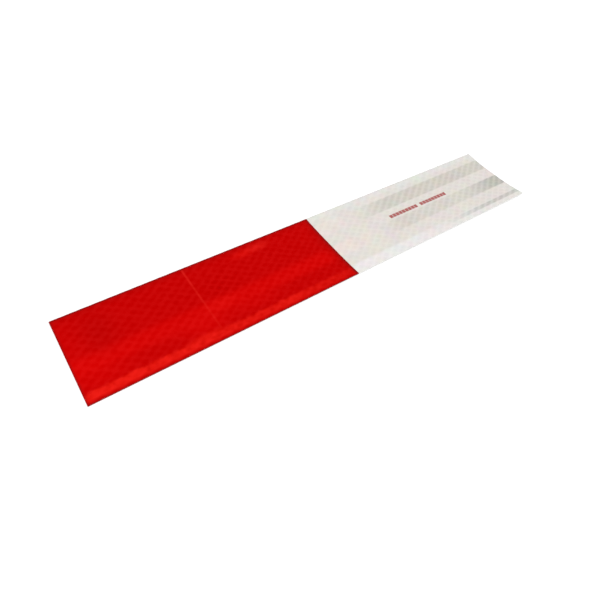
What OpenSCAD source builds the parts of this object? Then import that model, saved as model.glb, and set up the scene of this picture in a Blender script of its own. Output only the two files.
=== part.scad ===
// Reflective marking strip: one laminate of prismatic plastic film, red over its left part and
// white over the rest. It lies on its underside, face up, with its long edges curling upwards.
// X runs along the strip from the red end to the white end, Y across it, and Z up from the surface
// it rests on. The origin is at the middle of the underside.

/* [Strip] */
// Length of the strip
strip_l = 300; // [260:5:600]
// Width of the strip
strip_w = 50; // [40:1:80]
// Thickness of the laminate at the seals between its cells
film_t = 0.45; // [0.3:0.05:0.8]

/* [Curl] */
// Width of the middle band that still lies flat
rest_w = 10; // [6:1:16]
// Height that the long edges have lifted at the red end
lift_red = 0; // [0:0.1:2]
// Height that the long edges have lifted at the white end
lift_white = 1.4; // [0.5:0.1:5]

/* [Sealed cells] */
// Length of a diamond cell along the strip
cell_l = 6.6; // [5:0.1:10]
// Width of a diamond cell across the strip
cell_w = 4.7; // [4:0.1:8]
// Height of a cell's crown above the seals around it
cell_crown = 0.06; // [0.02:0.01:0.12]
// Distance along the strip from its middle to the nearest crossing of the seals
cell_start_x = -2.2; // [-3:0.1:3]
// Distance across the strip from its middle to the nearest crossing of the seals
cell_start_y = -0.75; // [-2:0.05:2]

/* [Tool seam] */
// Distance from the red end to the seam between two prism tools
seam_inset = 67.5; // [30:0.5:100]
// Width of the seam
seam_w = 0.9; // [0.5:0.1:2]
// Distance from the near long edge at which the seam ends
seam_end = 6.5; // [2:0.5:12]

/* [Red print] */
// Length of the red field, from the red end
red_l = 150; // [120:1:180]
// Thickness of the printed ink
ink_t = 0.05; // [0.02:0.01:0.1]

/* [Small marks] */
// Distance from the red field to the first mark
mark_inset = 48.9; // [20:0.1:60]
// Length of one mark
mark_l = 24; // [10:0.5:26]
// Height of a mark, across the strip
mark_h = 2.6; // [1.5:0.1:6]
// Space between the two marks
mark_space = 3; // [1:0.5:10]
// Distance from the middle line of the strip to the middle of the marks
mark_y = 2; // [-8:0.5:10]

/* [Hidden] */

half_l = strip_l / 2;
half_w = strip_w / 2;
rest_half = rest_w / 2;
red_end_x = red_l - half_l;
seam_x = seam_inset - half_l;
seam_end_y = seam_end - half_w;
mark_count = 2;
mark_starts = [for (k = [0 : mark_count - 1]) red_end_x + mark_inset + k * (mark_l + mark_space)];
mark_low_y = mark_y - mark_h / 2;
mark_high_y = mark_y + mark_h / 2;

// A line of the cell pattern that comes this near to a feature's edge gives way to that edge
merge_gap = 0.4;
// A point within this distance of a line counts as on it
tiny = 0.001;

// Sorting and merging of the lines that cross the strip

function below(list, pivot) = [for (v = list) if (v < pivot) v];
function above(list, pivot) = [for (v = list) if (v > pivot) v];
function sorted(list) = len(list) < 1
    ? []
    : concat(sorted(below(list, list[0])), [list[0]], sorted(above(list, list[0])));
function clear_of(v, edges) = min([for (e = edges) abs(v - e)]) > merge_gap;
function pattern_lines(half, start, step) =
    [for (k = [ceil((-half - start) / step) : floor((half - start) / step)]) start + k * step];
function with_pattern(edges, half, start, step) =
    sorted(concat(edges, [for (v = pattern_lines(half, start, step)) if (clear_of(v, edges)) v]));

// Edges of the features, and the half cells between them, along and across the strip
edges_x = concat(
    [-half_l, half_l, red_end_x, seam_x - seam_w / 2, seam_x + seam_w / 2],
    mark_starts,
    [for (s = mark_starts) s + mark_l]
);
edges_y = [-half_w, half_w, -rest_half, rest_half, seam_end_y, mark_low_y, mark_high_y];
lines_x = with_pattern(edges_x, half_l, cell_start_x, cell_l / 2);
lines_y = with_pattern(edges_y, half_w, cell_start_y, cell_w / 2);

// Shape of the surface

// The underside: flat in the middle band, then rising to the long edges, more at the white end
function lift(x) = lift_red + (lift_white - lift_red) * (x + half_l) / strip_l;
function rise(y) = pow(max(0, abs(y) - rest_half) / (half_w - rest_half), 2);
function underside(x, y) = lift(x) * rise(y);

// A cell is a low four-sided crown, 1 at its middle and 0 at the seals, and the seam is flat
function in_seam(x, y) = abs(x - seam_x) < seam_w / 2 + tiny && y > seam_end_y - tiny;
function to_seal(turns) = min(turns - floor(turns), ceil(turns) - turns);
function crown(x, y) =
    let (a = (x - cell_start_x) / cell_l, b = (y - cell_start_y) / cell_w)
    in_seam(x, y) ? 0 : 2 * min(to_seal(a + b), to_seal(a - b));
function face_height(x, y) = film_t + cell_crown * crown(x, y);

// Meshing of a layer between two heights above the underside, over a grid of lines

// Place of a grid point in the list of points: line i along X, line j along Y
function at(i, j, ny) = i * ny + j;
function layer_points(xs, ys, extra, shaped) =
    [for (x = xs) for (y = ys) [x, y, underside(x, y) + extra + (shaped ? face_height(x, y) : 0)]];

// Each field of the grid is two triangles that meet along the seal which crosses it
function along_seal(x0, y0, x1, y1) = crown(x0, y0) + crown(x1, y1) <= crown(x0, y1) + crown(x1, y0);
function field(a, b, c, d, rising) = rising ? [[a, c, b], [a, d, c]] : [[a, d, b], [b, d, c]];
function upper_faces(xs, ys) = [
    for (i = [0 : len(xs) - 2]) for (j = [0 : len(ys) - 2])
        each field(
            at(i, j, len(ys)), at(i + 1, j, len(ys)), at(i + 1, j + 1, len(ys)), at(i, j + 1, len(ys)),
            along_seal(xs[i], ys[j], xs[i + 1], ys[j + 1])
        )
];
function turned_over(faces, shift) = [for (f = faces) [f[0] + shift, f[2] + shift, f[1] + shift]];

// A wall hangs from a run of points on the upper face to the same run on the lower one
function wall(run, shift) = [
    for (k = [0 : len(run) - 2])
        each [
            [run[k], run[k + 1], run[k + 1] + shift],
            [run[k], run[k + 1] + shift, run[k] + shift]
        ]
];
function long_walls(nx, ny, shift) = concat(
    wall([for (i = [0 : nx - 1]) at(i, 0, ny)], shift),
    wall([for (i = [nx - 1 : -1 : 0]) at(i, ny - 1, ny)], shift)
);
function end_walls(nx, ny, shift) = concat(
    wall([for (j = [ny - 1 : -1 : 0]) at(0, j, ny)], shift),
    wall([for (j = [0 : ny - 1]) at(nx - 1, j, ny)], shift)
);

// The underside of the sheet is straight along X, so each strip between two lines is one long
// facet pair, and only the strips at the long edges meet every line that crosses them
function strip_pair(j, nx, ny, shift) =
    let (a = at(0, j, ny), b = at(nx - 1, j, ny), c = at(nx - 1, j + 1, ny), d = at(0, j + 1, ny))
    [[a + shift, b + shift, c + shift], [a + shift, c + shift, d + shift]];
function edge_fan(edge, inner, nx, ny, shift, facing) = [
    let (last = nx - 1, mid = floor(last / 2))
    each [
        for (i = [0 : last - 1])
            let (p = at(i, edge, ny), q = at(i + 1, edge, ny), tip = at(i < mid ? 0 : last, inner, ny))
            facing ? [p + shift, q + shift, tip + shift] : [q + shift, p + shift, tip + shift],
        let (p = at(mid, edge, ny), left = at(0, inner, ny), right = at(last, inner, ny))
        facing ? [p + shift, right + shift, left + shift] : [p + shift, left + shift, right + shift]
    ]
];
function under_faces(nx, ny, shift) = concat(
    edge_fan(0, 1, nx, ny, shift, true),
    [for (j = [1 : ny - 3]) each strip_pair(j, nx, ny, shift)],
    edge_fan(ny - 1, ny - 2, nx, ny, shift, false)
);

// The whole laminate, from the surface it rests on to the crowns of its cells
module laminate() {
    nx = len(lines_x);
    ny = len(lines_y);
    shift = nx * ny;
    points = concat(layer_points(lines_x, lines_y, 0, true), layer_points(lines_x, lines_y, 0, false));
    faces = concat(
        upper_faces(lines_x, lines_y),
        under_faces(nx, ny, shift),
        long_walls(nx, ny, shift),
        end_walls(nx, ny, shift)
    );
    polyhedron(points = points, faces = faces, convexity = 6);
}

// A layer of ink that follows the face of the laminate between four edges
module ink(x_low, x_high, y_low, y_high) {
    xs = [for (x = lines_x) if (x > x_low - tiny && x < x_high + tiny) x];
    ys = [for (y = lines_y) if (y > y_low - tiny && y < y_high + tiny) y];
    shift = len(xs) * len(ys);
    top = upper_faces(xs, ys);
    points = concat(layer_points(xs, ys, ink_t, true), layer_points(xs, ys, 0, true));
    faces = concat(
        top,
        turned_over(top, shift),
        long_walls(len(xs), len(ys), shift),
        end_walls(len(xs), len(ys), shift)
    );
    polyhedron(points = points, faces = faces, convexity = 6);
}

module reflective_sheet() {
    color("#ebe8e3") laminate();
}

module red_print() {
    color("#cc0a08") ink(-half_l, red_end_x, -half_w, half_w);
}

module print_marks() {
    color("#9c4146") for (s = mark_starts) ink(s, s + mark_l, mark_low_y, mark_high_y);
}

reflective_sheet();
red_print();
print_marks();
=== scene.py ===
# Reflective marking strip: the looks of one laminate of prismatic film, printed red over half its length
import math

import bpy
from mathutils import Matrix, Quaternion, Vector


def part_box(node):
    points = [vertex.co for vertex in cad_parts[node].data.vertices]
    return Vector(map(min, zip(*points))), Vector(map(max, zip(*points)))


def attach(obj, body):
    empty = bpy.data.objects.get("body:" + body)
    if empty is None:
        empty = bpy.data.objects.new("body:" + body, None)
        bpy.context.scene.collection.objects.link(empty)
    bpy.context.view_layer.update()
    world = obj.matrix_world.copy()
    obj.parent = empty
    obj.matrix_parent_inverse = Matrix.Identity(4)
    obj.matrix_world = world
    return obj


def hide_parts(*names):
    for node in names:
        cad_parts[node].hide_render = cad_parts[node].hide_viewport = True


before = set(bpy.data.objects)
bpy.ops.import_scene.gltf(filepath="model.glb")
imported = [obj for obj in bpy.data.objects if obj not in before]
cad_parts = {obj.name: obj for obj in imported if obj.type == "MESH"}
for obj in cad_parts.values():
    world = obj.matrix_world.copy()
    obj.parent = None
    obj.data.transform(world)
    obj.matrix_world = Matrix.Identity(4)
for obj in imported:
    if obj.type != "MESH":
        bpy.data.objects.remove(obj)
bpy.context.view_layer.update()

# Camera
# It stands over the near side of the red end and looks along the strip, rolled a little, as the
# photograph does. Places are in the strip's own frame: X towards the white end, Y away, Z up.
MM = 0.001
frame_px = 600
sensor_mm = 36
focal_px = 461.2
shift_px = 12
camera_place = Vector((-145.9, -130.9, 186.0)) * MM
camera_target = Vector((-44.8, -20.4, 0.5)) * MM
camera_roll = math.radians(9.86)

camera_data = bpy.data.cameras.new("camera")
camera_data.sensor_width = sensor_mm
camera_data.lens = focal_px / frame_px * sensor_mm
camera_data.shift_x = shift_px / frame_px
camera_data.clip_start = 0.01
camera = bpy.data.objects.new("camera", camera_data)
aim = (camera_target - camera_place).to_track_quat("-Z", "Y")
camera.matrix_world = (aim @ Quaternion((0, 0, 1), camera_roll)).to_matrix().to_4x4()
camera.location = camera_place
bpy.context.scene.collection.objects.link(camera)
bpy.context.scene.camera = camera

# Sheet
# One strip of microprismatic film: a clear acrylic face over a white prism layer, sealed to its
# backing along a lattice of diamonds. It is slit to 50 mm and cut to 300 mm with its liner on, and
# its long edges curl up from a flat middle band, by 1.4 mm at the white end and not at the red.
sheet_low, sheet_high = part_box("reflective_sheet")
half_w = sheet_high.y
film_t = 0.45 * MM
flat_half = 5 * MM
curl = 1.4 * MM
cell_crown = 0.06 * MM
cell_l = 6.6 * MM
cell_w = 4.7 * MM
cell_start = Vector((-2.2, -0.75)) * MM
seal_spacing = cell_l * cell_w / math.hypot(cell_l, cell_w)
seam_x = sheet_low.x + 67.5 * MM
seam_w = 0.9 * MM
seam_end_y = sheet_low.y + 6.5 * MM


def add(tree, kind, feeds=(), **settings):
    """Adds a node, sets its settings, and links or fills its inputs, in their order or by name."""
    node = tree.nodes.new(kind)
    for name, value in settings.items():
        setattr(node, name, value)
    for key, feed in feeds.items() if isinstance(feeds, dict) else enumerate(feeds):
        if isinstance(feed, bpy.types.Node):
            feed = feed.outputs[0]
        if isinstance(feed, bpy.types.NodeSocket):
            tree.links.new(feed, node.inputs[key])
        else:
            node.inputs[key].default_value = feed
    return node


def name_sockets(tree, way, names):
    """Gives a tree its named inputs or outputs, each with its kind."""
    for name, kind in names.items():
        tree.interface.new_socket(name, in_out=way, socket_type="NodeSocket" + kind)


def lattice(tree, x, y):
    """Turns of the falling and of the rising seals at a point, where a whole number lies on a seal,
    and how far it lies from the nearest seal of each kind, as a share of the space between two."""
    along = [x, 1 / cell_l, -cell_start.x / cell_l]
    along = add(tree, "ShaderNodeMath", along, operation="MULTIPLY_ADD")
    across = [y, 1 / cell_w, -cell_start.y / cell_w]
    across = add(tree, "ShaderNodeMath", across, operation="MULTIPLY_ADD")
    turns = [add(tree, "ShaderNodeMath", [along, across], operation=way) for way in ("ADD", "SUBTRACT")]
    gaps = [add(tree, "ShaderNodeMath", [turn, 0.5], operation="PINGPONG") for turn in turns]
    return turns, gaps


# Heights of the film's underside and face over the floor, at a place along and across it. A seal is
# flat up to its edge, and a crown has its full height from its reach on.
seal_edge = 0.03
crown_reach = 0.32
surface = bpy.data.node_groups.new("film_surface", "GeometryNodeTree")
name_sockets(surface, "INPUT", {"X": "Float", "Y": "Float"})
name_sockets(surface, "OUTPUT", {"Underside": "Float", "Face": "Float"})
given = add(surface, "NodeGroupInput").outputs
lift = add(surface, "ShaderNodeMapRange", [given["X"], sheet_low.x, sheet_high.x, 0.0, curl])
from_middle = add(surface, "ShaderNodeMath", [given["Y"]], operation="ABSOLUTE")
outward = add(surface, "ShaderNodeMapRange", [from_middle, flat_half, half_w, 0.0, 1.0])
rise = add(surface, "ShaderNodeMath", [outward, 2.0], operation="POWER")
underside = add(surface, "ShaderNodeMath", [lift, rise], operation="MULTIPLY")
gaps = lattice(surface, given["X"], given["Y"])[1]
to_seal = add(surface, "ShaderNodeMath", gaps, operation="MINIMUM")
crown = [to_seal, seal_edge, crown_reach, 0.0, cell_crown]
crown = add(surface, "ShaderNodeMapRange", crown, interpolation_type="SMOOTHSTEP")
across_seam = add(surface, "ShaderNodeMath", [given["X"], seam_x, seam_w / 2], operation="COMPARE")
past_end = add(surface, "ShaderNodeMath", [given["Y"], seam_end_y], operation="GREATER_THAN")
in_seam = add(surface, "ShaderNodeMath", [across_seam, past_end], operation="MULTIPLY")
off_seam = add(surface, "ShaderNodeMath", [1.0, in_seam], operation="SUBTRACT")
swell = add(surface, "ShaderNodeMath", [crown, off_seam, film_t], operation="MULTIPLY_ADD")
face = add(surface, "ShaderNodeMath", [swell, underside], operation="ADD")
add(surface, "NodeGroupOutput", {"Underside": underside, "Face": face})

# Where a point lies in the pattern that shows through the clear face: light seals round darker
# cells of prisms, each cell a little different, with a faint rainbow tint that changes every 8 mm
tint_size = 8 * MM
tint_spread = 0.22
mottle_size = 3 * MM
prisms = bpy.data.node_groups.new("prism_pattern", "ShaderNodeTree")
places = ("Along mm", "Across mm")
measures = ("Seal", "Cell", "Falling cell", "Rising cell", "Cell tone", "Mottle")
name_sockets(prisms, "OUTPUT", {name: "Float" for name in places + measures})
name_sockets(prisms, "OUTPUT", {"Tint": "Vector"})
place = add(prisms, "ShaderNodeTexCoord").outputs["Object"]
parts = add(prisms, "ShaderNodeSeparateXYZ", [place]).outputs
along_mm = add(prisms, "ShaderNodeMath", [parts[0], 1 / MM, -sheet_low.x / MM], operation="MULTIPLY_ADD")
across_mm = add(prisms, "ShaderNodeMath", [parts[1], -1 / MM, half_w / MM], operation="MULTIPLY_ADD")
turns, gaps = lattice(prisms, parts[0], parts[1])
spacing_mm = seal_spacing / MM
gaps_mm = [add(prisms, "ShaderNodeMath", [gap, spacing_mm], operation="MULTIPLY") for gap in gaps]
seal_mm = add(prisms, "ShaderNodeMath", gaps_mm, operation="MINIMUM")
# Each measure changes between two distances from its seal, in mm
reaches = (
    (seal_mm, 0.2, 0.6, 1.0, 0.0),
    (seal_mm, 0.1, 1.7),
    (gaps_mm[0], 0.1, 1.8),
    (gaps_mm[1], 0.1, 1.8),
)
seal, cell, falling_cell, rising_cell = (
    add(prisms, "ShaderNodeMapRange", reach, interpolation_type="SMOOTHSTEP") for reach in reaches
)
cell_place = [add(prisms, "ShaderNodeMath", [turn], operation="FLOOR") for turn in turns]
cell_number = add(prisms, "ShaderNodeCombineXYZ", cell_place)
cell_tone = add(prisms, "ShaderNodeTexWhiteNoise", [cell_number], noise_dimensions="2D")
mottle = add(prisms, "ShaderNodeTexNoise", {"Vector": place, "Scale": 1 / mottle_size, "Detail": 3.0})
rainbow = add(prisms, "ShaderNodeTexNoise", {"Vector": place, "Scale": 1 / tint_size, "Detail": 2.0})
tint = [rainbow.outputs["Color"], [tint_spread] * 3, [1 - tint_spread / 2] * 3]
tint = add(prisms, "ShaderNodeVectorMath", tint, operation="MULTIPLY_ADD")
measured = [along_mm, across_mm, seal, cell, falling_cell, rising_cell, cell_tone, mottle, tint]
add(prisms, "NodeGroupOutput", measured)


def linear(colour):
    """An sRGB hex colour as linear RGBA."""
    parts = [int(colour[i : i + 2], 16) / 255 for i in (1, 3, 5)]
    return [p / 12.92 if p <= 0.04045 else ((p + 0.055) / 1.055) ** 2.4 for p in parts] + [1.0]


def finish(name, settings):
    """A new material with its shader set, and its tree, its shader and the pattern of the film."""
    material = bpy.data.materials.new(name)
    material.use_nodes = True
    tree = material.node_tree
    shader = tree.nodes["Principled BSDF"]
    for key, value in settings.items():
        shader.inputs[key].default_value = value
    return material, tree, shader, add(tree, "ShaderNodeGroup", node_tree=prisms).outputs


def band(tree, value, low, high, soft):
    """1 between two sizes and 0 outside them, with soft edges."""
    edge = soft / 2
    steps = [
        add(tree, "ShaderNodeMapRange", [value, at - edge, at + edge], interpolation_type="SMOOTHSTEP")
        for at in (low, high)
    ]
    return add(tree, "ShaderNodeMath", steps, operation="SUBTRACT")


def painted_shading_patch(tree, pattern, along, across, half_along, half_across, most):
    """A soft oval patch of painted highlight or painted shade on the film: most in its middle, 0
    outside.
    """
    reach_x = [pattern["Along mm"], along, along + half_along]
    reach_y = [pattern["Across mm"], across, across + half_across]
    spot = [add(tree, "ShaderNodeMapRange", reach, clamp=False) for reach in (reach_x, reach_y)]
    spot = add(tree, "ShaderNodeCombineXYZ", spot)
    outward = add(tree, "ShaderNodeVectorMath", [spot], operation="LENGTH").outputs["Value"]
    fade = [outward, 0.0, 1.0, most, 0.0]
    return add(tree, "ShaderNodeMapRange", fade, interpolation_type="SMOOTHSTEP")


def shade_cells(tree, pattern, in_cell, mottled, falling, rising):
    """Share of its light that the film keeps: in_cell is added in the middle of a cell, falling and
    rising are lost away from the seals of each kind, and the mottle takes or gives half of mottled."""
    uneven = [pattern["Mottle"], mottled, 1 - mottled / 2]
    uneven = add(tree, "ShaderNodeMath", uneven, operation="MULTIPLY_ADD")
    shade = add(tree, "ShaderNodeMath", [pattern["Cell"], in_cell, uneven], operation="MULTIPLY_ADD")
    for kind, loss in (("Falling cell", falling), ("Rising cell", rising)):
        shade = add(tree, "ShaderNodeMath", [pattern[kind], -loss, shade], operation="MULTIPLY_ADD")
    return shade


# White prismatic film, cast in acrylic: a warm pale grey, lighter along the near edge. In lengthwise
# bands the prisms are turned the other way, and their light and shade is painted into the colour: a
# painted highlight by the red field, and painted shade that deepens towards the white end, where they
# send the light elsewhere. Everywhere the cells are a touch darker than the seals, and the seals that
# rise to the right show the most. The face is smooth and glossy, and a little duller along the seals.
acrylic_ior = 1.49
white_film, tree, shader, pattern = finish(
    "white_prismatic_film", {"IOR": acrylic_ior, "Specular IOR Level": 0.25}
)
margin_share = 0.8
far_margin = [pattern["Across mm"], 2.4, 4.4, margin_share, 0.0]
far_margin = add(tree, "ShaderNodeMapRange", far_margin, interpolation_type="SMOOTHSTEP")
colours = {0: far_margin, 6: linear("#ede7e0"), 7: linear("#eeece8")}
colour = add(tree, "ShaderNodeMix", colours, data_type="RGBA").outputs[2]
near_margin = [pattern["Across mm"], 42.4, 44.6, 0.0, margin_share]
near_margin = add(tree, "ShaderNodeMapRange", near_margin, interpolation_type="SMOOTHSTEP")
margin_fade = add(tree, "ShaderNodeMapRange", [pattern["Along mm"], 200.0, 300.0, 1.0, 0.4])
near_margin = add(tree, "ShaderNodeMath", [near_margin, margin_fade], operation="MULTIPLY")
colours = {0: near_margin, 6: colour, 7: linear("#f8f6f3")}
colour = add(tree, "ShaderNodeMix", colours, data_type="RGBA").outputs[2]
slash = add(tree, "ShaderNodeMath", [pattern["Rising cell"], 0.28, 0.70], operation="MULTIPLY_ADD")
# Each band: its far and near side in mm, where it starts and is full along the strip, its share
# there, and its colour, lighter for a painted highlight and darker for painted shade
band_soft_mm = 1.2
prism_bands_painted_light = (
    (7.2, 16.7, 188.0, 150.0, 0.8, "#f6e8e2"),
    (7.2, 16.7, 172.0, 210.0, 0.38, "#a9a894"),
    (25.8, 34.8, 192.0, 150.0, 0.8, "#f6e8e2"),
    (25.8, 34.8, 184.0, 206.0, 0.24, "#a9a88a"),
    (25.8, 34.8, 258.0, 299.0, 0.60, "#9fa39f"),
    (43.8, 46.8, 212.0, 272.0, 0.56, "#a9a89f"),
)
for far_mm, near_mm, start_mm, full_mm, share, shade in prism_bands_painted_light:
    here = band(tree, pattern["Across mm"], far_mm, near_mm, band_soft_mm)
    ramp = [pattern["Along mm"], start_mm, full_mm, 0.0, share]
    grown = add(tree, "ShaderNodeMapRange", ramp, interpolation_type="SMOOTHSTEP")
    here = add(tree, "ShaderNodeMath", [here, grown], operation="MULTIPLY")
    here = add(tree, "ShaderNodeMath", [here, slash], operation="MULTIPLY")
    colours = {0: here, 6: colour, 7: linear(shade)}
    colour = add(tree, "ShaderNodeMix", colours, data_type="RGBA").outputs[2]
tone_loss = 0.024
cell_loss = 0.002
in_cell = [pattern["Cell tone"], -tone_loss, -cell_loss]
in_cell = add(tree, "ShaderNodeMath", in_cell, operation="MULTIPLY_ADD")
cell_shade = shade_cells(tree, pattern, in_cell, mottled=0.06, falling=0.013, rising=0.031)
shaded = {"Vector": colour, "Scale": cell_shade}
shaded = add(tree, "ShaderNodeVectorMath", shaded, operation="SCALE")
tinted = add(tree, "ShaderNodeVectorMath", [shaded, pattern["Tint"]], operation="MULTIPLY")
tree.links.new(tinted.outputs[0], shader.inputs["Base Color"])
gloss = add(tree, "ShaderNodeMapRange", [pattern["Seal"], 0.0, 1.0, 0.26, 0.36])
tree.links.new(gloss.outputs[0], shader.inputs["Roughness"])

# Siliconised release liner of coated paper: smooth, white and nearly matt, with the cells of the
# film showing through it faintly.
liner, tree, shader, pattern = finish("siliconised_release_liner", {"IOR": 1.45, "Roughness": 0.55})
colours = {0: pattern["Seal"], 6: linear("#eceae4"), 7: linear("#e0ddd6")}
colour = add(tree, "ShaderNodeMix", colours, data_type="RGBA").outputs[2]
tree.links.new(colour, shader.inputs["Base Color"])

# Sheared edge of the laminate: the cut drags the red ink down over it and leaves it dark along the
# red half, and dull white along the rest.
cut_edge, tree, shader, pattern = finish("sheared_film_edge", {"IOR": acrylic_ior, "Roughness": 0.6})
red_mm = (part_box("red_print")[1].x - sheet_low.x) / MM
past_red = add(tree, "ShaderNodeMath", [pattern["Along mm"], red_mm], operation="GREATER_THAN")
colours = {0: past_red, 6: linear("#8c1a16"), 7: linear("#fbfaf8")}
colour = add(tree, "ShaderNodeMix", colours, data_type="RGBA").outputs[2]
tree.links.new(colour, shader.inputs["Base Color"])

# A layer of the strip over a grid of lines that keep to the lattice: the film itself, from its
# underside to its face, or ink, which lies on the face
layer = bpy.data.node_groups.new("film_layer", "GeometryNodeTree")
layer_inputs = {
    "Lines along": "Int",
    "Lines across": "Int",
    "Step along": "Float",
    "Step across": "Float",
    "Middle": "Vector",
    "Low corner": "Vector",
    "High corner": "Vector",
    "Ink thickness": "Float",
    "Lies on film": "Bool",
    "Face finish": "Material",
    "Under finish": "Material",
    "Edge finish": "Material",
}
name_sockets(layer, "INPUT", layer_inputs)
name_sockets(layer, "OUTPUT", {"Geometry": "Geometry"})
given = add(layer, "NodeGroupInput").outputs
spaces_along = add(layer, "ShaderNodeMath", [given["Lines along"], 1.0], operation="SUBTRACT")
spaces_across = add(layer, "ShaderNodeMath", [given["Lines across"], 1.0], operation="SUBTRACT")
run = add(layer, "ShaderNodeMath", [spaces_along, given["Step along"]], operation="MULTIPLY")
reach = add(layer, "ShaderNodeMath", [spaces_across, given["Step across"]], operation="MULTIPLY")
block = {
    "Size": add(layer, "ShaderNodeCombineXYZ", [run, reach, 1.0]),
    "Vertices X": given["Lines along"],
    "Vertices Y": given["Lines across"],
    "Vertices Z": 2,
}
block = add(layer, "GeometryNodeMeshCube", block)
point = add(layer, "GeometryNodeInputPosition")
moved = add(layer, "ShaderNodeVectorMath", [point, given["Middle"]], operation="ADD")
kept = add(layer, "ShaderNodeVectorMath", [moved, given["Low corner"]], operation="MAXIMUM")
kept = add(layer, "ShaderNodeVectorMath", [kept, given["High corner"]], operation="MINIMUM")
here = add(layer, "ShaderNodeSeparateXYZ", [kept]).outputs
film = add(layer, "GeometryNodeGroup", {"X": here[0], "Y": here[1]}, node_tree=surface).outputs
half = add(layer, "ShaderNodeSeparateXYZ", [point]).outputs["Z"]
upper = add(layer, "ShaderNodeMath", [half, 0.0], operation="GREATER_THAN")
top = add(layer, "ShaderNodeMath", [film["Face"], given["Ink thickness"]], operation="ADD")
bottom = {"Switch": given["Lies on film"], "False": film["Underside"], "True": film["Face"]}
bottom = add(layer, "GeometryNodeSwitch", bottom, input_type="FLOAT")
height = {"Switch": upper, "False": bottom, "True": top}
height = add(layer, "GeometryNodeSwitch", height, input_type="FLOAT")
place = add(layer, "ShaderNodeCombineXYZ", [here[0], here[1], height])
shaped = add(layer, "GeometryNodeSetPosition", {"Geometry": block, "Position": place})
tilt = add(layer, "ShaderNodeSeparateXYZ", [add(layer, "GeometryNodeInputNormal")]).outputs["Z"]
is_face = add(layer, "ShaderNodeMath", [tilt, 0.5], operation="GREATER_THAN")
is_under = add(layer, "ShaderNodeMath", [tilt, -0.5], operation="LESS_THAN")
is_broad = add(layer, "ShaderNodeMath", [is_face, is_under], operation="ADD")
smooth = {"Geometry": shaped, "Shade Smooth": is_broad}
smooth = add(layer, "GeometryNodeSetShadeSmooth", smooth, domain="FACE")
whole = add(layer, "GeometryNodeRealizeInstances", {"Geometry": smooth})
edged = add(layer, "GeometryNodeSetMaterial", {"Geometry": whole, "Material": given["Edge finish"]})
faced = {"Geometry": edged, "Selection": is_face, "Material": given["Face finish"]}
faced = add(layer, "GeometryNodeSetMaterial", faced)
backed = {"Geometry": faced, "Selection": is_under, "Material": given["Under finish"]}
backed = add(layer, "GeometryNodeSetMaterial", backed)
add(layer, "NodeGroupOutput", {"Geometry": backed})


def piece_from(tree, name, sizes):
    """A plain mesh made by a tree from named sizes, as an object at the origin."""
    piece = bpy.data.objects.new(name, bpy.data.meshes.new(name))
    bpy.context.scene.collection.objects.link(piece)
    maker = piece.modifiers.new(name, "NODES")
    maker.node_group = tree
    for item in tree.interface.items_tree:
        if item.in_out == "INPUT":
            maker[item.identifier] = sizes[item.name]
    graph = bpy.context.evaluated_depsgraph_get()
    mesh = bpy.data.meshes.new_from_object(
        piece.evaluated_get(graph), preserve_all_data_layers=True, depsgraph=graph
    )
    piece.modifiers.remove(maker)
    piece.data = mesh
    mesh.name = name
    return piece


lines_to_cell = 8


def layer_sizes(low, high, ink, finishes):
    """Sizes of a layer between two corners, over a grid with lines_to_cell lines to a cell."""
    step_x = cell_l / lines_to_cell
    step_y = cell_w / lines_to_cell
    first_x = math.floor((low.x - cell_start.x) / step_x)
    last_x = math.ceil((high.x - cell_start.x) / step_x)
    first_y = math.floor((low.y - cell_start.y) / step_y)
    last_y = math.ceil((high.y - cell_start.y) / step_y)
    middle_x = cell_start.x + (first_x + last_x) / 2 * step_x
    middle_y = cell_start.y + (first_y + last_y) / 2 * step_y
    return {
        "Lines along": last_x - first_x + 1,
        "Lines across": last_y - first_y + 1,
        "Step along": step_x,
        "Step across": step_y,
        "Middle": (middle_x, middle_y, 0.0),
        "Low corner": (low.x, low.y, -1.0),
        "High corner": (high.x, high.y, 1.0),
        "Ink thickness": ink,
        "Lies on film": ink > 0,
        **finishes,
    }


film_finishes = {"Face finish": white_film, "Under finish": liner, "Edge finish": cut_edge}
sheet = piece_from(layer, "prismatic_sheet", layer_sizes(sheet_low, sheet_high, 0.0, film_finishes))
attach(sheet, "root")
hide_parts("reflective_sheet")

# Red print
# Transparent red ink, screen printed over the left half of the web before it is slit, so it runs
# right out to three edges of the strip. The prism cells and the tool seam show through it.
red_low, red_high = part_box("red_print")
ink_t = 0.05 * MM

# Red screen ink over prismatic film: deep and saturated, with hardly any veil of reflected light.
# A lengthwise band of turned prisms, the mottled strip along the near edge and some soft patches
# hold painted highlights; the first three patches, at the far edge, the red end and the white half,
# hold painted shade. The seam shows as a fine light line that fades nearer. The cells are darker than
# the seals, which scatter a trace of white light. A darker rim runs round the field, where the ink is
# thicker at its end and dragged down by the cuts.
red_ink, tree, shader, pattern = finish(
    "red_screen_ink", {"IOR": acrylic_ior, "Specular IOR Level": 0.006, "Roughness": 0.3}
)
colour = linear("#ce0000")
# A lengthwise band of turned prisms, with a painted highlight in its colour
band_highlight_share = 0.5
band_painted_highlight = band(tree, pattern["Across mm"], 26.4, 35.4, 6.0)
band_painted_highlight = add(tree, "ShaderNodeMath", [band_painted_highlight, band_highlight_share], operation="MULTIPLY")
colours = {0: band_painted_highlight, 6: colour, 7: linear("#ea0604")}
colour = add(tree, "ShaderNodeMix", colours, data_type="RGBA").outputs[2]
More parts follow.
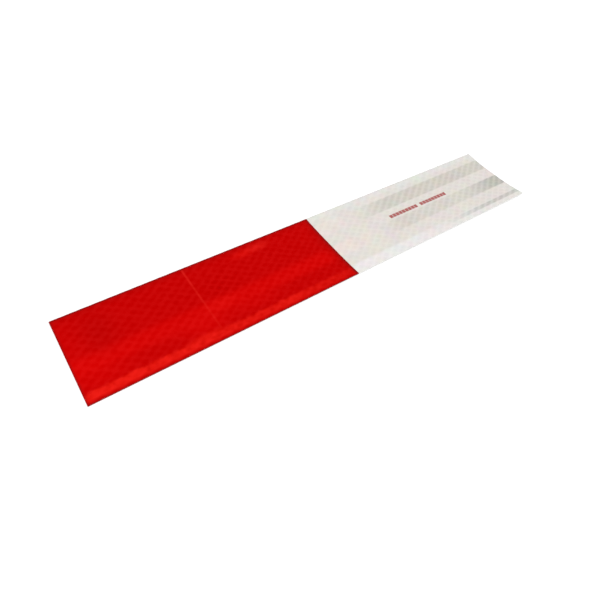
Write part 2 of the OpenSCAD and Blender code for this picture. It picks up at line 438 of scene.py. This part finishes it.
# Each patch of painted highlight or painted shade: its middle along and across in mm, half its length
# and width, its share there, and its colour
painted_shading_patches = (
    (75.0, 0.5, 250.0, 5.5, 0.42, "#b40201"),
    (17.0, 16.0, 15.0, 20.0, 0.35, "#ba0201"),
    (150.0, 25.0, 9.0, 44.0, 0.6, "#b60201"),
    (54.0, 35.0, 34.0, 7.0, 0.5, "#dc0504"),
    (102.0, 6.0, 12.0, 4.2, 0.6, "#ec120c"),
    (112.0, 5.2, 11.0, 4.2, 0.6, "#ee1e18"),
    (59.0, 44.2, 16.0, 3.0, 0.7, "#f01910"),
    (106.0, 46.4, 17.0, 3.4, 0.6, "#f01910"),
    (75.0, 30.0, 13.0, 6.0, 0.35, "#f01410"),
    (10.0, 38.0, 26.0, 12.0, 0.4, "#e80403"),
    (62.0, 39.0, 20.0, 8.0, 0.4, "#e80403"),
    (90.0, 38.0, 24.0, 6.0, 0.3, "#e80403"),
    (2.0, 24.0, 16.0, 26.0, 0.2, "#e80403"),
)
for along, across, half_along, half_across, share, shade in painted_shading_patches:
    here = painted_shading_patch(tree, pattern, along, across, half_along, half_across, share)
    colours = {0: here, 6: colour, 7: linear(shade)}
    colour = add(tree, "ShaderNodeMix", colours, data_type="RGBA").outputs[2]
# A painted highlight along the near edge, mottled and strongest at the red end
near_highlight_fade = add(tree, "ShaderNodeMapRange", [pattern["Along mm"], 20.0, 150.0, 0.95, 0.38])
wave_mm = 2.0
wavy_across = [pattern["Mottle"], wave_mm, pattern["Across mm"]]
wavy_across = add(tree, "ShaderNodeMath", wavy_across, operation="MULTIPLY_ADD")
near_edge_painted_highlight = band(tree, wavy_across, 45.4, 49.5, 2.2)
near_edge_painted_highlight = add(tree, "ShaderNodeMath", [near_edge_painted_highlight, near_highlight_fade], operation="MULTIPLY")
mottled = add(tree, "ShaderNodeMapRange", [pattern["Mottle"], 0.3, 0.7, 0.7, 1.3])
near_edge_painted_highlight = add(tree, "ShaderNodeMath", [near_edge_painted_highlight, mottled], operation="MULTIPLY")
colours = {0: near_edge_painted_highlight, 6: colour, 7: linear("#f01910")}
colour = add(tree, "ShaderNodeMix", colours, data_type="RGBA").outputs[2]
# The seam's light line lies a little to the left of its middle
seam_mm = (seam_x - sheet_low.x) / MM
seam_end_mm = (half_w - seam_end_y) / MM
line_left_mm = seam_mm - 0.7
line_right_mm = seam_mm + 0.3
seam_line = band(tree, pattern["Along mm"], line_left_mm, line_right_mm, seam_w / MM)
seam_run = [pattern["Across mm"], seam_end_mm - 0.5, seam_end_mm + 0.5, 1.0, 0.0]
seam_run = add(tree, "ShaderNodeMapRange", seam_run)
seam_line = add(tree, "ShaderNodeMath", [seam_line, seam_run], operation="MULTIPLY")
seam_fade = add(tree, "ShaderNodeMapRange", [pattern["Across mm"], 14.0, 32.0, 0.28, 0.13])
seam_line = add(tree, "ShaderNodeMath", [seam_line, seam_fade], operation="MULTIPLY")
seam_line = add(tree, "ShaderNodeMath", [seam_line, mottled], operation="MULTIPLY")
colours = {0: seam_line, 6: colour, 7: linear("#fa2e26")}
colour = add(tree, "ShaderNodeMix", colours, data_type="RGBA").outputs[2]
# Past the seam one patch of painted shade darkens the cells
tone_loss = 0.022
cell_loss = 0.014
in_cell = [pattern["Cell tone"], -tone_loss, -cell_loss]
in_cell = add(tree, "ShaderNodeMath", in_cell, operation="MULTIPLY_ADD")
painted_shade_patch = painted_shading_patch(tree, pattern, 80.0, 21.0, 15.0, 13.0, -0.06)
in_cell = add(tree, "ShaderNodeMath", [in_cell, painted_shade_patch], operation="ADD")
cell_shade = shade_cells(tree, pattern, in_cell, mottled=0.16, falling=0.016, rising=0.028)
shaded = {"Vector": colour, "Scale": cell_shade}
shaded = add(tree, "ShaderNodeVectorMath", shaded, operation="SCALE")
seal_veil = add(tree, "ShaderNodeMapRange", [cell_shade, 0.94, 1.0, 0.0, 0.0024])
veiled = add(tree, "ShaderNodeVectorMath", [shaded, seal_veil], operation="ADD")
# The rim's width in mm at the red end, the white half, the far edge and the near edge
rim_left, rim_right, rim_far, rim_near = 0.6, 1.6, 1.0, 0.4
strip_w_mm = 2 * half_w / MM
inside_x = band(tree, pattern["Along mm"], rim_left, red_mm - rim_right, 1.9)
inside_y = band(tree, pattern["Across mm"], rim_far, strip_w_mm - rim_near, 1.2)
inside = add(tree, "ShaderNodeMath", [inside_x, inside_y], operation="MULTIPLY")
colours = {0: inside, 6: linear("#9e1010"), 7: veiled}
colour = add(tree, "ShaderNodeMix", colours, data_type="RGBA").outputs[2]
tree.links.new(colour, shader.inputs["Base Color"])

ink_finishes = {"Face finish": red_ink, "Under finish": red_ink, "Edge finish": red_ink}
red = piece_from(layer, "red_field", layer_sizes(red_low, red_high, ink_t, ink_finishes))
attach(red, "root")
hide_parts("red_print")

# Small marks
# Two short rows of dark red print in the middle of the white half. The real ones are lettering,
# so plain blocks of the same reach and height stand in their place, printed on the film.
marks_low, marks_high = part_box("print_marks")
mark_space = 3 * MM
mark_l = (marks_high.x - marks_low.x - mark_space) / 2
blocks = 9
block_gap = 0.44 * MM
block_l = (mark_l + block_gap) / blocks - block_gap

# Dark red screen ink, thin and nearly matt, and a little uneven where the screen left less of it.
dark_ink, tree, shader, pattern = finish(
    "dark_red_screen_ink", {"IOR": acrylic_ior, "Specular IOR Level": 0.1, "Roughness": 0.45}
)
colours = {0: pattern["Mottle"], 6: linear("#aa5e5d"), 7: linear("#c0706d")}
colour = add(tree, "ShaderNodeMix", colours, data_type="RGBA").outputs[2]
tree.links.new(colour, shader.inputs["Base Color"])

rows = bpy.data.node_groups.new("printed_blocks", "GeometryNodeTree")
row_inputs = {
    "Rows": "Int",
    "Row step": "Float",
    "Blocks": "Int",
    "Block step": "Float",
    "Block size": "Vector",
    "First block": "Vector",
    "Ink thickness": "Float",
    "Finish": "Material",
}
name_sockets(rows, "INPUT", row_inputs)
name_sockets(rows, "OUTPUT", {"Geometry": "Geometry"})
given = add(rows, "NodeGroupInput").outputs
row_step = add(rows, "ShaderNodeCombineXYZ", [given["Row step"]])
row_line = {"Count": given["Rows"], "Start Location": given["First block"], "Offset": row_step}
row_line = add(rows, "GeometryNodeMeshLine", row_line)
block_step = add(rows, "ShaderNodeCombineXYZ", [given["Block step"]])
block_line = add(rows, "GeometryNodeMeshLine", {"Count": given["Blocks"], "Offset": block_step})
block = {"Size": given["Block size"], "Vertices X": 4, "Vertices Y": 4, "Vertices Z": 2}
block = add(rows, "GeometryNodeMeshCube", block)
one_row = add(rows, "GeometryNodeInstanceOnPoints", {"Points": block_line, "Instance": block})
all_rows = add(rows, "GeometryNodeInstanceOnPoints", {"Points": row_line, "Instance": one_row})
real = add(rows, "GeometryNodeRealizeInstances", {"Geometry": all_rows})
here = add(rows, "ShaderNodeSeparateXYZ", [add(rows, "GeometryNodeInputPosition")]).outputs
film = add(rows, "GeometryNodeGroup", {"X": here[0], "Y": here[1]}, node_tree=surface).outputs
upper = add(rows, "ShaderNodeMath", [here[2], 0.0], operation="GREATER_THAN")
height = [upper, given["Ink thickness"], film["Face"]]
height = add(rows, "ShaderNodeMath", height, operation="MULTIPLY_ADD")
place = add(rows, "ShaderNodeCombineXYZ", [here[0], here[1], height])
printed = add(rows, "GeometryNodeSetPosition", {"Geometry": real, "Position": place})
inked = add(rows, "GeometryNodeSetMaterial", {"Geometry": printed, "Material": given["Finish"]})
add(rows, "NodeGroupOutput", {"Geometry": inked})

block_sizes = {
    "Rows": 2,
    "Row step": mark_l + mark_space,
    "Blocks": blocks,
    "Block step": block_l + block_gap,
    "Block size": (block_l, marks_high.y - marks_low.y, ink_t),
    "First block": (marks_low.x + block_l / 2, (marks_low.y + marks_high.y) / 2, 0.0),
    "Ink thickness": ink_t,
    "Finish": dark_ink,
}
marks = piece_from(rows, "printed_marks", block_sizes)
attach(marks, "root")
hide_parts("print_marks")

# Studio
# A white sweep in soft, even light: the world lights everything at a plain level, and one large
# lamp high over the near side shades the film slightly. The floor keeps the strip's faint shadow.
floor_half = 3.0
floor_mesh = bpy.data.meshes.new("floor")
signs = ((-1, -1), (1, -1), (1, 1), (-1, 1))
corners = [(a * floor_half, b * floor_half, sheet_low.z) for a, b in signs]
floor_mesh.from_pydata(corners, [], [(0, 1, 2, 3)])
floor = bpy.data.objects.new("floor", floor_mesh)
bpy.context.scene.collection.objects.link(floor)


def seen_by_eye(tree):
    """1 where the camera, a reflection or clear plastic looks, and 0 for the light that is given."""
    ray = add(tree, "ShaderNodeLightPath").outputs
    seen = [ray["Is Camera Ray"], ray["Is Glossy Ray"]]
    seen = add(tree, "ShaderNodeMath", seen, operation="MAXIMUM")
    return add(tree, "ShaderNodeMath", [seen, ray["Is Transmission Ray"]], operation="MAXIMUM")


# Matt white paint, lifted to white only where the camera, a reflection or clear plastic sees it
sweep_lift = 0.4
sweep = bpy.data.materials.new("matt_white_paint")
sweep.use_nodes = True
tree = sweep.node_tree
shader = tree.nodes["Principled BSDF"]
shader.inputs["Base Color"].default_value = linear("#e7e7e7")
shader.inputs["Roughness"].default_value = 0.9
shader.inputs["Specular IOR Level"].default_value = 0.0
lifted = add(tree, "ShaderNodeMath", [seen_by_eye(tree), sweep_lift], operation="MULTIPLY")
glow = add(tree, "ShaderNodeEmission", {"Strength": lifted})
both = add(tree, "ShaderNodeAddShader", [shader, glow])
tree.links.new(both.outputs[0], tree.nodes["Material Output"].inputs["Surface"])
floor_mesh.materials.append(sweep)

ambient = 0.7
world = bpy.data.worlds.new("studio")
world.use_nodes = True
tree = world.node_tree
background = tree.nodes["Background"]
background.inputs["Color"].default_value = linear("#ffffff")
strength = add(tree, "ShaderNodeMapRange", [seen_by_eye(tree), 0.0, 1.0, ambient, 1.0])
tree.links.new(strength.outputs[0], background.inputs["Strength"])
bpy.context.scene.world = world

lamp_data = bpy.data.lights.new("softbox", "AREA")
lamp_data.size = 1.2
lamp_data.energy = 7
lamp = bpy.data.objects.new("softbox", lamp_data)
lamp_place = Vector((-0.5, -0.6, 1.15))
lamp.matrix_world = (-lamp_place).to_track_quat("-Z", "Y").to_matrix().to_4x4()
lamp.location = lamp_place
bpy.context.scene.collection.objects.link(lamp)
bpy.context.scene.view_settings.view_transform = "Standard"
